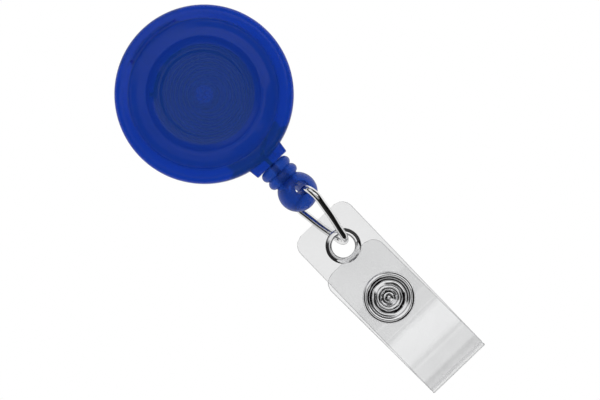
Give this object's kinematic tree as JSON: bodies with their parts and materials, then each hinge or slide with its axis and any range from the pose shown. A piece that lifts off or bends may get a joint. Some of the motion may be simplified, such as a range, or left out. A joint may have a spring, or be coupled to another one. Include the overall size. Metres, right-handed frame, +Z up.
{
  "type": "retractable badge reel",
  "caption": "Round clip-on reel with a sprung cord, swivelling ball fitting, wire link and a snap-closed clear strap for a badge.",
  "frame": {"origin": "middle of the belt clip's slot, on the axis of the reel", "axes": "+Z up as worn, with the strap hanging down; the reel's front face looks towards -Y; +X to the viewer's right"},
  "size_m": [0.0318, 0.0156, 0.0823],
  "materials": {
    "translucent_case": "moulded translucent royal blue plastic, polished",
    "translucent_fitting": "moulded translucent royal blue plastic, polished",
    "spool_plastic": "moulded plastic, as moulded",
    "spring_steel": "rolled spring steel, lightly oiled",
    "cord": "braided nylon cord",
    "plated_strip": "nickel plated sheet steel",
    "rivet_steel": "set rivet head, dull plating",
    "plated_wire": "nickel plated drawn wire",
    "plated_fastener": "nickel plated pressed brass",
    "clear_vinyl": "flexible clear vinyl sheet, faintly rippled"
  },
  "bodies": {
    "case": {"front_cover": "translucent_case", "back_cover": "translucent_case", "belt_clip": "plated_strip", "clip_rivet": "rivet_steel", "mainspring": "spring_steel", "cord_run": "cord"},
    "spool": {"spool": "spool_plastic", "cord_winding": "cord"},
    "cord_end": {"cord_tail": "cord"},
    "fitting": {"end_fitting": "translucent_fitting"},
    "link": {"link_ring": "plated_wire"},
    "strap": {"strap_back": "clear_vinyl", "strap_fold": "clear_vinyl", "grommet": "plated_fastener", "grommet_washer": "plated_fastener", "snap_stud": "plated_fastener", "snap_post": "plated_fastener"},
    "flap": {"strap_flap": "clear_vinyl", "snap_cap": "plated_fastener", "snap_socket": "plated_fastener", "snap_spring": "spring_steel"}
  },
  "joints": [
    {"name": "cord_pull", "type": "slide", "parent": "case", "child": "cord_end", "axis": [0, 0, -1], "range_m": [0, 0.85], "stiffness_N_per_m": 1.2, "springref_m": -0.7},
    {"name": "spool_spin", "type": "hinge", "parent": "case", "child": "spool", "pos_m": [0, -0.0068, 0], "axis": [0, 1, 0], "range_deg": [0, 4330], "deforming": ["mainspring"]},
    {"name": "fitting_swivel", "type": "hinge", "parent": "cord_end", "child": "fitting", "pos_m": [0, -0.0068, -0.02035], "axis": [0, 0, -1], "continuous": true},
    {"name": "link_swing", "type": "hinge", "parent": "fitting", "child": "link", "pos_m": [0, -0.0068, -0.0245], "axis": [0.342, -0.9397, 0], "range_deg": [-90, 90]},
    {"name": "strap_swing", "type": "hinge", "parent": "link", "child": "strap", "pos_m": [0, -0.0068, -0.0359], "axis": [0, -1, 0], "range_deg": [-30, 30]},
    {"name": "flap_open", "type": "hinge", "parent": "strap", "child": "flap", "pos_m": [-0.001, -0.0078, -0.0652], "axis": [1, 0, 0], "range_deg": [0, 165], "deforming": ["strap_fold"]}
  ],
  "couplings": [
    {"joint": "spool_spin", "follows": "cord_pull", "rad_per_m": 88.731}
  ]
}
